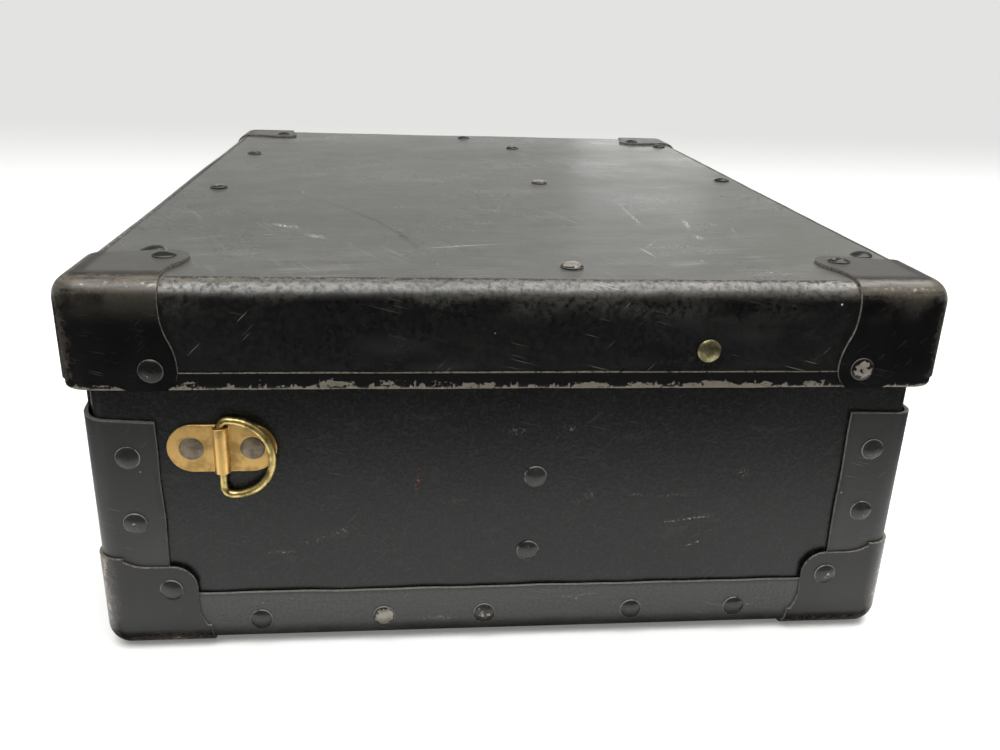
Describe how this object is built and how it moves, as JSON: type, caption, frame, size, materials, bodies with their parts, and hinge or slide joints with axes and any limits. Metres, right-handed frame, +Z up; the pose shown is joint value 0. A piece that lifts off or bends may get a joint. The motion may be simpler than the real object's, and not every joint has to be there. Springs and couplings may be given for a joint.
{
  "type": "instrument carrying case",
  "caption": "Rectangular black fibre carrying case with a hinged telescoping lid, riveted steel corners, strap rings, folding handle and draw catches.",
  "frame": {"origin": "bottom centre of the closed case, on the surface it stands on", "axes": "+Z up, +Y along the long side away from the end with the brass lid rivet, +X towards the hinges, -X towards handle and catches"},
  "size_m": [0.3592, 0.4614, 0.1634],
  "materials": {
    "black_fibre": "black vulcanised fibre, satin and scuffed",
    "fibre_strip": "black vulcanised fibre strip, satin",
    "cap_steel": "black japanned steel, worn to metal at edges",
    "rivet_steel": "black painted steel, chipped",
    "fitting_steel": "black japanned steel",
    "brass": "aged brass",
    "batten_wood": "plain softwood",
    "grip_leather": "dark leather"
  },
  "bodies": {
    "case_body": {"body_tray": "black_fibre", "end_panel_near": "black_fibre", "end_panel_far": "black_fibre", "corner_strip_near_left": "fibre_strip", "corner_strip_near_right": "fibre_strip", "corner_strip_far_left": "fibre_strip", "corner_strip_far_right": "fibre_strip", "bottom_strip_near": "fibre_strip", "bottom_strip_far": "fibre_strip", "bottom_strip_left": "fibre_strip", "bottom_strip_right": "fibre_strip", "bottom_cap_near_left": "cap_steel", "bottom_cap_near_right": "cap_steel", "bottom_cap_far_left": "cap_steel", "bottom_cap_far_right": "cap_steel", "end_batten_near": "batten_wood", "end_batten_far": "batten_wood", "body_rivets": "rivet_steel", "ring_rivets": "rivet_steel", "body_fitting_rivets": "rivet_steel", "ring_plate_near": "brass", "ring_plate_far": "brass", "hinge_body_leaf_near": "fitting_steel", "hinge_body_leaf_far": "fitting_steel", "hinge_pin_near": "fitting_steel", "hinge_pin_far": "fitting_steel", "handle_lug_near": "fitting_steel", "handle_lug_far": "fitting_steel", "catch_plate_near": "fitting_steel", "catch_plate_far": "fitting_steel", "catch_pin_near": "fitting_steel", "catch_pin_far": "fitting_steel"},
    "lid": {"lid_shell": "black_fibre", "lid_rim_band": "cap_steel", "lid_cap_near_left": "cap_steel", "lid_cap_near_right": "cap_steel", "lid_cap_far_left": "cap_steel", "lid_cap_far_right": "cap_steel", "lid_cap_rivets": "rivet_steel", "lid_top_rivets": "rivet_steel", "lid_brass_rivet": "brass", "lid_fitting_rivets": "rivet_steel", "lid_batten_left": "batten_wood", "lid_batten_right": "batten_wood", "lid_batten_near": "batten_wood", "lid_batten_far": "batten_wood", "lid_batten_centre": "batten_wood", "hinge_lid_leaf_near": "fitting_steel", "hinge_lid_leaf_far": "fitting_steel", "catch_hook_near": "fitting_steel", "catch_hook_far": "fitting_steel"},
    "handle": {"handle_bail": "fitting_steel", "handle_grip": "grip_leather"},
    "ring_near": {"strap_ring_near": "brass"},
    "ring_far": {"strap_ring_far": "brass"},
    "lever_near": {"catch_lever_near": "fitting_steel"},
    "loop_near": {"catch_loop_near": "fitting_steel"},
    "lever_far": {"catch_lever_far": "fitting_steel"},
    "loop_far": {"catch_loop_far": "fitting_steel"}
  },
  "joints": [
    {"name": "lid_hinge", "type": "hinge", "parent": "case_body", "child": "lid", "pos_m": [0.1747, 0, 0.1172], "axis": [0, 1, 0], "range_deg": [0, 100]},
    {"name": "handle_swing", "type": "hinge", "parent": "case_body", "child": "handle", "pos_m": [-0.1736, 0, 0.084], "axis": [0, 1, 0], "range_deg": [0, 160]},
    {"name": "ring_near_swing", "type": "hinge", "parent": "case_body", "child": "ring_near", "pos_m": [-0.1147, -0.2248, 0.0889], "axis": [0, 0, -1], "range_deg": [0, 172]},
    {"name": "ring_far_swing", "type": "hinge", "parent": "case_body", "child": "ring_far", "pos_m": [-0.1147, 0.2248, 0.0889], "axis": [0, 0, 1], "range_deg": [0, 172]},
    {"name": "catch_near_lever", "type": "hinge", "parent": "case_body", "child": "lever_near", "pos_m": [-0.1704, -0.135, 0.104], "axis": [0, 1, 0], "range_deg": [0, 105]},
    {"name": "catch_near_loop", "type": "hinge", "parent": "lever_near", "child": "loop_near", "pos_m": [-0.1743, -0.135, 0.095], "axis": [0, 1, 0], "range_deg": [0, 74]},
    {"name": "catch_far_lever", "type": "hinge", "parent": "case_body", "child": "lever_far", "pos_m": [-0.1704, 0.135, 0.104], "axis": [0, 1, 0], "range_deg": [0, 105]},
    {"name": "catch_far_loop", "type": "hinge", "parent": "lever_far", "child": "loop_far", "pos_m": [-0.1743, 0.135, 0.095], "axis": [0, 1, 0], "range_deg": [0, 74]}
  ],
  "couplings": [
    {"joint": "catch_near_loop", "follows": "catch_near_lever", "ratio": 0.7},
    {"joint": "catch_far_loop", "follows": "catch_far_lever", "ratio": 0.7}
  ]
}
